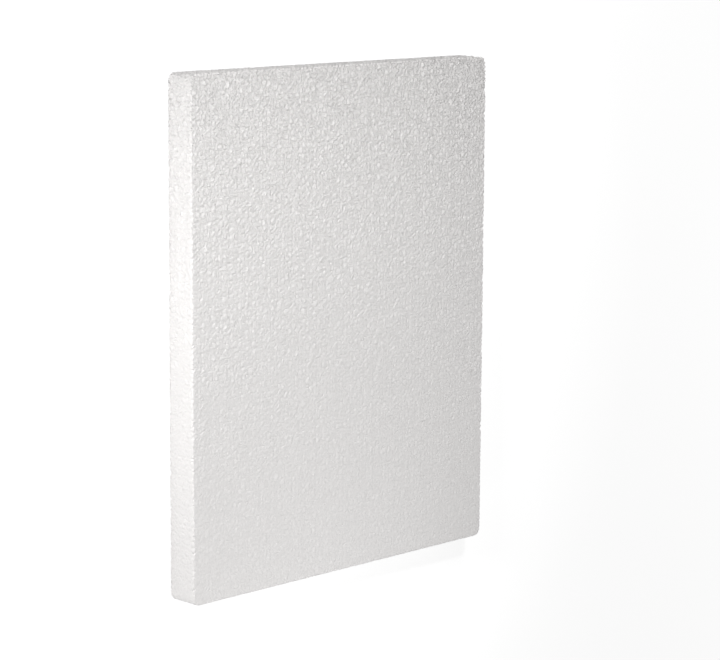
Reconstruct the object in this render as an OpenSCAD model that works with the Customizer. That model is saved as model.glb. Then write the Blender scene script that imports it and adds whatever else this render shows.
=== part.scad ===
// Sheet of expanded polystyrene foam: one solid board with rounded corners and softened arrises.
// It lies flat, with the origin at the centre of its underside, its width along X, its length
// along Y and +Z up through its thickness. All sizes are in millimetres.

/* [Sheet] */
// Width of the sheet, along X
sheet_w = 240; // [60:1:600]
// Length of the sheet, along Y
sheet_l = 300; // [60:1:1200]
// Thickness of the sheet, along Z
sheet_t = 20; // [8:0.5:100]

/* [Edges] */
// Radius of the four corners, seen from above
corner_r = 5; // [4:0.5:25]
// Radius of the rounding along every arris, where a face meets an edge
arris_r = 1; // [0.5:0.25:3.5]

/* [Appearance] */
// Colour of the foam
foam_colour = "whitesmoke"; // [whitesmoke, white, snow, ivory]

/* [Hidden] */
$fn = 64;
// The core is the flat middle of the sheet, and the rim is the band round it, corner_r wide
core_w = sheet_w - 2 * corner_r;
core_l = sheet_l - 2 * corner_r;

// What the rounding takes off a square corner at the far end of both axes
module arris_waste() {
    difference() {
        square(arris_r);
        circle(arris_r);
    }
}

// Cross-section of the rim: x runs from the core out to the side face, y up through the sheet
module rim_section() {
    difference() {
        square([corner_r, sheet_t]);
        translate([corner_r - arris_r, sheet_t - arris_r])
            arris_waste();
        translate([corner_r - arris_r, arris_r])
            mirror([0, 1])
                arris_waste();
    }
}

// Straight stretch of rim that faces +X, as long as run and centred on the X axis
module side_rim(run) {
    rotate([90, 0, 0])
        linear_extrude(height = run, center = true)
            rim_section();
}

// Quarter turn of rim from +X round to +Y, about the vertical line through a corner of the core
module corner_rim() {
    rotate_extrude(angle = 90)
        rim_section();
}

// The whole sheet: the core, with one side of the rim and the corner after it at each quarter turn
module foam_sheet() {
    color(foam_colour)
    union() {
        translate([-core_w / 2, -core_l / 2, 0])
            cube([core_w, core_l, sheet_t]);
        for (turn = [0:3]) {
            // Reach of the core along the turned X axis, and its run along the turned Y axis
            reach = turn % 2 == 0 ? core_w / 2 : core_l / 2;
            run = turn % 2 == 0 ? core_l : core_w;
            rotate([0, 0, 90 * turn]) {
                translate([reach, 0, 0])
                    side_rim(run);
                translate([reach, run / 2, 0])
                    corner_rim();
            }
        }
    }
}

foam_sheet();
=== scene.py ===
"""A sheet of expanded polystyrene foam that lies flat: its fused beads, their finish and their light."""
import math
import random

import bmesh
import bpy
from mathutils import Matrix, Vector, noise


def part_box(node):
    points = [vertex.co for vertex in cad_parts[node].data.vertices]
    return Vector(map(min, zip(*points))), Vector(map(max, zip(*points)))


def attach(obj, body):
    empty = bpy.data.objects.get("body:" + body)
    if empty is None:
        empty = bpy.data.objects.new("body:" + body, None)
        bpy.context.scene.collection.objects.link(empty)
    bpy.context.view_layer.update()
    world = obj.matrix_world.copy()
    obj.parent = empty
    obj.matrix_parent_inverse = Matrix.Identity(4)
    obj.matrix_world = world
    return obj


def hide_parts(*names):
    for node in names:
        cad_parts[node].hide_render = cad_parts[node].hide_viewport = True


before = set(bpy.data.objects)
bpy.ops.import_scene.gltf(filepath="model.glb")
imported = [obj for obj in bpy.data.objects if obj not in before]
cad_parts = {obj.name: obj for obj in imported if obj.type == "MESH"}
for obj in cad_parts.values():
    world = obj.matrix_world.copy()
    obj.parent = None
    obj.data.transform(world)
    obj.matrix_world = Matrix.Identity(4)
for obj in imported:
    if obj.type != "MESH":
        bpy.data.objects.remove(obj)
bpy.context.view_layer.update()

MM = 0.001
LOW, HIGH = (Vector(corner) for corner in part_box("foam_sheet"))
SIZE = HIGH - LOW

# The rounding of the sheet, as in its construction
CORNER_R = 5 * MM
ARRIS_R = 1 * MM

# The beads: the side of the square that one takes up on average, and how unlike their sizes are
BEAD_PITCH = 2.8 * MM
SIZE_SPREAD = 0.45
# How far the beads stray from even rows at random, before their room is evened out and after
FIRST_STRAY = BEAD_PITCH / 2
SECOND_STRAY = BEAD_PITCH / 5
# A bead over this area has a flatter crown inside a shoulder, and a smaller one is a plain dome
CROWNED_AREA = 10.4 * MM * MM
CROWN_SHARE = 0.5
SHOULDER_DROP = 0.12 * MM
GROOVE_DEPTH = 0.45 * MM
# The deepest hollow where beads meet is this much deeper than the grooves, and few come near it:
# the higher the power, the fewer
PIT_DEPTH = 0.25 * MM
PIT_POWER = 4
# How far the crowns lean, and how far beads lie under the surface, as typical values
BEAD_TILT = math.radians(3)
BEAD_SINK = 0.06 * MM
# The relief at the +Y end is this many times as deep as at the -Y end
RELIEF_RATIO = 4.1
# Handling has worn the beads along an arris down to this share of the relief, over this width
ARRIS_SHARE = 0.25
WORN_WIDTH = 1.2 * MM
# A vertex this near a face counts as on it
TOUCH = 0.1 * MM
# Slow swells of the surface, from crest to crest and from crest to hollow
SWELL_LENGTH = 9 * MM
SWELL_HEIGHT = 0.08 * MM
# How much paler one bead is than another, at random, and how far the painted shade of a groove darkens
# it, as shares of the colour ramp
TONE_SPREAD = 0.4
PAINTED_GROOVE_SHADE = 0.5
# A cell that bends by more than this lies across an arris
ARRIS_TURN = math.radians(45)

# The wrinkles of the skins, from fold to fold and from crest to hollow where they are deepest.
# They are gone at the smooth relief, and deepest at the wrinkled one.
WRINKLE_LENGTH = 1.4 * MM
WRINKLE_DEPTH = 2.1 * MM
SMOOTH_RELIEF = 0.2
WRINKLED_RELIEF = 2.2
# The hot wire's ridges: from ridge to ridge, how little they change along the sheet against across it,
# and their height as a share of the wrinkles'
RIDGE_GAP = 4 * MM
RIDGE_DRIFT = 0.03
RIDGE_SHARE = 0.28
# The finish: a dull groove, greyed with painted shade, and a smooth, paler skin
GROOVE_ROUGHNESS = 0.5
SKIN_ROUGHNESS = 0.22
# This grey is painted shade for the grooves, darker than the foam's own skin colour
PAINTED_SHADE_COLOUR = "#dedcdb"
SKIN_COLOUR = "#eceae9"

# The light of the sky on the sheet
SKY_LIGHT = 0.3
# Half the side of the floor
FLOOR_REACH = 4
# The floor's glow makes it white to the eye without lighting the sheet. It is lower within the near
# reach of the middle, where the lamps fall and the shadow shows, and full beyond the far reach.
NEAR_GLOW = 0.65
FAR_GLOW = 0.84
NEAR_REACH = 0.3
FAR_REACH = 0.9

# The camera stands off the -X side and looks down at this point, with +Y upwards in the picture
CAMERA_AIM = Vector((11.6, -6.8, 20)) * MM
CAMERA_AZIMUTH = 166.49
CAMERA_ELEVATION = 43.96
CAMERA_DISTANCE = 1.503
CAMERA_ROLL = math.radians(0.345)
CAMERA_LENS = 127.5

# The one seeded source of all the random draws
rng = random.Random(12)


def clamp(value, low, high):
    return max(low, min(high, value))


def seat(point):
    """The nearest place on the rounded sheet to a point close to it, and the outward normal there.

    The knee is the point an arris radius inside the sheet that the surface there is rounded about.
    """
    knee = Vector((
        clamp(point.x, LOW.x + CORNER_R, HIGH.x - CORNER_R),
        clamp(point.y, LOW.y + CORNER_R, HIGH.y - CORNER_R),
        clamp(point.z, LOW.z + ARRIS_R, HIGH.z - ARRIS_R),
    ))
    across = Vector((point.x - knee.x, point.y - knee.y, 0))
    if across.length > CORNER_R:
        across.length = CORNER_R
    foot = Vector((knee.x + across.x, knee.y + across.y, point.z))
    if across.length > 0:
        knee += across.normalized() * min(across.length, CORNER_R - ARRIS_R)
    normal = (foot - knee).normalized()
    return knee + normal * ARRIS_R, normal


def relief(point):
    """How strongly the beads stand out at a point: least at the -Y end and along the arrises."""
    from_faces = sorted(min(point[i] - LOW[i], HIGH[i] - point[i]) for i in range(3))
    # The first face is the one that the point lies on, and the second is the one over the arris
    from_arris = clamp(from_faces[1] / WORN_WIDTH, 0, 1)
    return (ARRIS_SHARE + (1 - ARRIS_SHARE) * from_arris) * RELIEF_RATIO ** (point.y / SIZE.y)


def marked_out_sheet():
    """The sheet with a vertex for each bead, in rows, and what holds the vertices on the arrises."""
    bm = bmesh.new()
    bmesh.ops.create_cube(bm, size=1)
    bmesh.ops.scale(bm, vec=SIZE, verts=bm.verts)
    bmesh.ops.translate(bm, vec=(LOW + HIGH) / 2, verts=bm.verts)
    for axis in range(3):
        along = [e for e in bm.edges if abs((e.verts[0].co - e.verts[1].co)[axis]) > MM]
        cuts = round(SIZE[axis] / BEAD_PITCH) - 1
        bmesh.ops.subdivide_edges(bm, edges=along, cuts=cuts, use_grid_fill=True)
    bmesh.ops.triangulate(bm, faces=bm.faces, quad_method="ALTERNATE")
    held = {}
    for v in bm.verts:
        ends = [(i, v.co[i]) for i in range(3) if min(v.co[i] - LOW[i], HIGH[i] - v.co[i]) < TOUCH]
        # An arris runs where a broad face, whose axis is number 2, meets a side
        on_arris = len(ends) > 1 and ends[-1][0] == 2
        if on_arris:
            held[v] = ends
    return bm, held


def seat_all(bm, held):
    """Puts every vertex back on the rounded sheet, and the held ones back on their arrises."""
    for v in bm.verts:
        for axis, place in held.get(v, ()):
            v.co[axis] = place
        v.co = seat(v.co)[0]


def scatter(bm, held, stray):
    """Strews the vertices over the surface, so that no rows are left."""
    for v in bm.verts:
        v.co += Vector(rng.uniform(-stray, stray) for _ in range(3))
    seat_all(bm, held)


def settle(bm, held):
    """Evens out the room round each vertex, and turns edges so that near neighbours are joined."""
    pull = {v: [Vector(), 0.0] for v in bm.verts}
    for f in bm.faces:
        area = f.calc_area()
        share = f.calc_center_median() * area
        for v in f.verts:
            pull[v][0] += share
            pull[v][1] += area
    for v, (total, area) in pull.items():
        v.co = total / area
    seat_all(bm, held)
    bmesh.ops.beautify_fill(bm, faces=bm.faces, edges=bm.edges, method="AREA")


def turn_into_cells(bm):
    """Gives each vertex the cell of surface round it, as one face, and drops the vertex."""
    middles = bm.verts[:]
    links = bm.edges[:]
    # The greater a bead's reach, the further off the corners of its cell
    reach = {v: rng.lognormvariate(0, SIZE_SPREAD) for v in middles}
    corners = bmesh.ops.poke(bm, faces=bm.faces, center_mode="MEAN")["verts"]
    for corner in corners:
        beads = [e.other_vert(corner) for e in corner.link_edges]
        corner.co = sum((v.co / reach[v] for v in beads), Vector()) / sum(1 / reach[v] for v in beads)
    # Turned, the link between two beads becomes the groove between them
    bmesh.ops.rotate_edges(bm, edges=links, use_ccw=False)
    bmesh.ops.dissolve_verts(bm, verts=middles)
    seat_all(bm, {})


def turns(cell):
    """Whether a cell lies across an arris."""
    first, *others = (seat(v.co)[1] for v in cell.verts)
    return any(first.angle(normal) > ARRIS_TURN for normal in others)


def shape_shoulder(cell):
    """Draws the inset outline of a bead in to the edge of its crown, tilted and sunk at random."""
    centre = cell.calc_center_median()
    lean = Vector(rng.gauss(0, BEAD_TILT) for _ in range(3))
    sink = abs(rng.gauss(0, BEAD_SINK))
    for v in cell.verts:
        out = (v.co - centre) * CROWN_SHARE
        place, up = seat(centre + out)
        v.co = place - up * (SHOULDER_DROP + sink + max(0, out.dot(lean))) * relief(place)


def shape_crown(top):
    """Raises the top of a bead over the outline round it, to the sheet's surface or just under."""
    around = sum((e.other_vert(top).co for e in top.link_edges), Vector()) / len(top.link_edges)
    place, up = seat(around)
    rise = max((place - around).dot(up) - SHOULDER_DROP * relief(place), 0)
    top.co = place - up * min(rise, abs(rng.gauss(0, BEAD_SINK)) * relief(place))


def shape_beads(bm):
    """Raises a bead in each cell, which falls to the groove round it, over a shoulder if crowned."""
    # Each bead's own tone at random, and painted shade that darkens the grooves between beads
    tone_and_groove_shade = bm.verts.layers.float.new("tone_and_groove_shade")
    depth = bm.verts.layers.float.new("relief")
    grooves = bm.verts[:]
    outlines = bm.edges[:]
    cells = bm.faces[:]
    # A small cell that lies across an arris has a crown too, because a plain dome would cut the corner
    crowned = [cell for cell in cells if cell.calc_area() > CROWNED_AREA or turns(cell)]
    bmesh.ops.inset_individual(bm, faces=crowned, thickness=0, depth=0)
    for cell in crowned:
        shape_shoulder(cell)
    for v in grooves:
        place, up = seat(v.co)
        v.co = place - up * (GROOVE_DEPTH + rng.random() ** PIT_POWER * PIT_DEPTH) * relief(place)
    tops = bmesh.ops.poke(bm, faces=cells, center_mode="MEAN")["verts"]
    for top in tops:
        shape_crown(top)
        shade = 1 - rng.random() * TONE_SPREAD * relief(top.co)
        for v in [top] + [e.other_vert(top) for e in top.link_edges]:
            v[tone_and_groove_shade] = shade
    # Painted shade: the grooves are coloured darker, the more so where the relief is deeper
    for v in grooves:
        v[tone_and_groove_shade] = 1 - PAINTED_GROOVE_SHADE * relief(v.co)
    for v in bm.verts:
        v[depth] = relief(v.co)
    for e in outlines:
        e.smooth = False


def swell(bm):
    """Gives the surface slow swells, no higher than it was."""
    for v in bm.verts:
        up = seat(v.co)[1]
        # The noise runs from -1 to 1, and swings once in about two of its units
        hollow = (1 - noise.noise(v.co / SWELL_LENGTH * 2)) / 2
        v.co -= up * hollow * SWELL_HEIGHT * relief(v.co)


def mesh_object(name, bm, material):
    """Turns a finished bmesh into an object of one material, smooth but for its marked edges."""
    for f in bm.faces:
        f.smooth = True
    mesh = bpy.data.meshes.new(name)
    bm.to_mesh(mesh)
    bm.free()
    mesh.materials.append(material)
    made = bpy.data.objects.new(name, mesh)
    bpy.context.scene.collection.objects.link(made)
    return made


def linear(hex_colour):
    """An sRGB colour such as #e8e8e8 as the linear values that Blender's sockets hold."""
    def channel(at):
        c = int(hex_colour[at:at + 2], 16) / 255
        return c / 12.92 if c <= 0.04045 else ((c + 0.055) / 1.055) ** 2.4
    return channel(1), channel(3), channel(5), 1.0


def add(tree, kind, settings=None, **links):
    """Adds a node with its settings and links, each link named for its input, or _N for input N."""
    node = tree.nodes.new("ShaderNode" + kind)
    for name, value in (settings or {}).items():
        if name in node.inputs:
            node.inputs[name].default_value = value
        else:
            setattr(node, name, value)
    for name, source in links.items():
        socket = int(name[1:]) if name[0] == "_" else name.replace("_", " ")
        tree.links.new(source, node.inputs[socket])
    return node


def new_material(name):
    material = bpy.data.materials.new(name)
    material.use_nodes = True
    material.node_tree.nodes.clear()
    return material, material.node_tree


def foam_material():
    """Expanded polystyrene: beads that steam blew and fused, in thin skins that give small glints."""
    material, tree = new_material("expanded_polystyrene")
    place = add(tree, "TexCoord").outputs["Object"]
    tone_and_groove_shade = add(tree, "Attribute", {"attribute_name": "tone_and_groove_shade"}).outputs["Fac"]
    relief_here = add(tree, "Attribute", {"attribute_name": "relief"}).outputs["Fac"]
    # The steam left the skins finely wrinkled, most of all where the beads stand out most
    wrinkles = add(tree, "TexNoise", {"Scale": 1 / WRINKLE_LENGTH, "Detail": 1.0}, Vector=place)
    span = {"From Min": SMOOTH_RELIEF, "From Max": WRINKLED_RELIEF}
    strength = add(tree, "MapRange", span, Value=relief_here)
    # The hot wire that cut the sheet dragged faint ridges along it
    stretched = add(tree, "Mapping", {"Scale": (1, RIDGE_DRIFT, 1)}, Vector=place)
    ridges = add(tree, "TexNoise", {"Scale": 1 / RIDGE_GAP}, Vector=stretched.outputs["Vector"])
    height = add(tree, "Math", {"operation": "MULTIPLY_ADD"}, _0=ridges.outputs["Fac"],
                 _2=wrinkles.outputs["Fac"])
    height.inputs[1].default_value = RIDGE_SHARE
    bump = add(tree, "Bump", {"Distance": WRINKLE_DEPTH}, Height=height.outputs["Value"],
               Strength=strength.outputs["Result"])
    # The ramp runs from the painted shade of the grooves to the paler skin, through each bead's random
    # tone
    shade = add(tree, "ValToRGB", Fac=tone_and_groove_shade)
    shade.color_ramp.elements[0].color = linear(PAINTED_SHADE_COLOUR)
    shade.color_ramp.elements[1].color = linear(SKIN_COLOUR)
    finish = {"To Min": GROOVE_ROUGHNESS, "To Max": SKIN_ROUGHNESS}
    roughness = add(tree, "MapRange", finish, Value=tone_and_groove_shade)
    shader = add(tree, "BsdfPrincipled", {"IOR": 1.5}, Base_Color=shade.outputs["Color"],
                 Roughness=roughness.outputs["Result"], Normal=bump.outputs["Normal"])
    add(tree, "OutputMaterial", Surface=shader.outputs["BSDF"])
    return material


def build_sheet():
    """The fused beads of the whole sheet, which stand for the plain solid of its construction."""
    bm, held = marked_out_sheet()
    scatter(bm, held, FIRST_STRAY)
    settle(bm, held)
    scatter(bm, held, SECOND_STRAY)
    turn_into_cells(bm)
    shape_beads(bm)
    swell(bm)
    bmesh.ops.recalc_face_normals(bm, faces=bm.faces)
    sheet = mesh_object("beaded_sheet", bm, foam_material())
    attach(sheet, "root")
    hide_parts("foam_sheet")


def seen_or_mirrored(tree):
    """1 for what the camera sees directly or in a gloss, and 0 for light on its way to a surface."""
    path = add(tree, "LightPath")
    seen, mirrored = path.outputs["Is Camera Ray"], path.outputs["Is Glossy Ray"]
    both = add(tree, "Math", {"operation": "MAXIMUM"}, _0=seen, _1=mirrored)
    return both.outputs["Value"]


def floor_material():
    """Matt pale paper, which keeps the sheet's shadow, under a glow that makes it white to the eye."""
    material, tree = new_material("white_paper")
    paper = add(tree, "BsdfDiffuse", {"Color": linear("#c8c8c8")})
    place = add(tree, "TexCoord").outputs["Object"]
    way_off = add(tree, "VectorMath", {"operation": "LENGTH"}, Vector=place)
    rise = {"From Min": NEAR_REACH, "From Max": FAR_REACH, "To Min": NEAR_GLOW, "To Max": FAR_GLOW}
    glow = add(tree, "MapRange", rise, Value=way_off.outputs["Value"])
    strength = add(tree, "Math", {"operation": "MULTIPLY"}, _0=glow.outputs["Result"],
                   _1=seen_or_mirrored(tree))
    shine = add(tree, "Emission", {"Color": (1, 1, 1, 1)}, Strength=strength.outputs["Value"])
    both = add(tree, "AddShader", _0=paper.outputs["BSDF"], _1=shine.outputs["Emission"])
    add(tree, "OutputMaterial", Surface=both.outputs["Shader"])
    return material


def build_floor():
    bm = bmesh.new()
    bmesh.ops.create_grid(bm, x_segments=1, y_segments=1, size=FLOOR_REACH)
    mesh_object("floor", bm, floor_material())


def bearing(azimuth, elevation):
    """The direction at these angles in degrees, where azimuth 0 is +X and 90 is +Y."""
    turn, lift = math.radians(azimuth), math.radians(elevation)
    return Vector((math.cos(turn) * math.cos(lift), math.sin(turn) * math.cos(lift), math.sin(lift)))


def area_lamp(name, azimuth, elevation, distance, width, level, mirrored=False):
    """A square lamp that faces the sheet, at angles in degrees and a distance and width in metres.

    Level is how bright it makes a white card that faces it there. The beads shine only in a mirrored
    lamp: the others light them and make no glints.
    """
    towards = bearing(azimuth, elevation)
    lamp = bpy.data.lights.new(name, "AREA")
    lamp.size = width
    lamp.energy = math.pi ** 2 * level * distance ** 2
    made = bpy.data.objects.new(name, lamp)
    made.location = Vector((0, 0, SIZE.z / 2)) + towards * distance
    made.rotation_euler = towards.to_track_quat("Z", "Y").to_euler()
    made.visible_glossy = mirrored
    bpy.context.scene.collection.objects.link(made)


def build_lamps():
    # Low lamps that face the sides, and hardly light the top
    area_lamp("side_key", 180, 4, 0.5, 0.1, 0.245)
    area_lamp("far_side_fill", 0, 3, 0.8, 0.08, 0.16)
    area_lamp("end_key", 100, 6, 0.8, 0.3, 0.15)
    area_lamp("foot_key", 250, 10, 0.35, 0.12, 0.11)
    # The slanting lamp that draws out the beads, brightest on the -X side
    area_lamp("rake", 161, 25, 0.5, 0.12, 0.33)
    # Lamps over the two ends, of which only the smallest makes glints on the beads
    area_lamp("top", 100, 60, 0.45, 0.04, 0.23, mirrored=True)
    area_lamp("top_fill", 90, 45, 0.45, 0.1, 0.12)
    area_lamp("foot_fill", 270, 45, 0.35, 0.12, 0.15)


def build_sky():
    world = bpy.data.worlds.new("studio")
    world.use_nodes = True
    tree = world.node_tree
    tree.nodes.clear()
    strength = add(tree, "MapRange", {"To Min": SKY_LIGHT, "To Max": 1.0}, Value=seen_or_mirrored(tree))
    sky = add(tree, "Background", {"Color": (1, 1, 1, 1)}, Strength=strength.outputs["Result"])
    add(tree, "OutputWorld", Surface=sky.outputs["Background"])
    bpy.context.scene.world = world


def build_camera():
    forward = -bearing(CAMERA_AZIMUTH, CAMERA_ELEVATION)
    right = forward.cross(Vector((0, 1, 0))).normalized()
    up = right.cross(forward)
    upright = Matrix((right, up, -forward)).transposed()
    camera = bpy.data.cameras.new("camera")
    camera.lens = CAMERA_LENS
    made = bpy.data.objects.new("camera", camera)
    turn = upright @ Matrix.Rotation(CAMERA_ROLL, 3, "Z")
    made.matrix_world = Matrix.Translation(CAMERA_AIM - forward * CAMERA_DISTANCE) @ turn.to_4x4()
    bpy.context.scene.collection.objects.link(made)
    bpy.context.scene.camera = made


build_camera()
build_sheet()
build_floor()
build_lamps()
build_sky()
bpy.context.scene.view_settings.view_transform = "Standard"
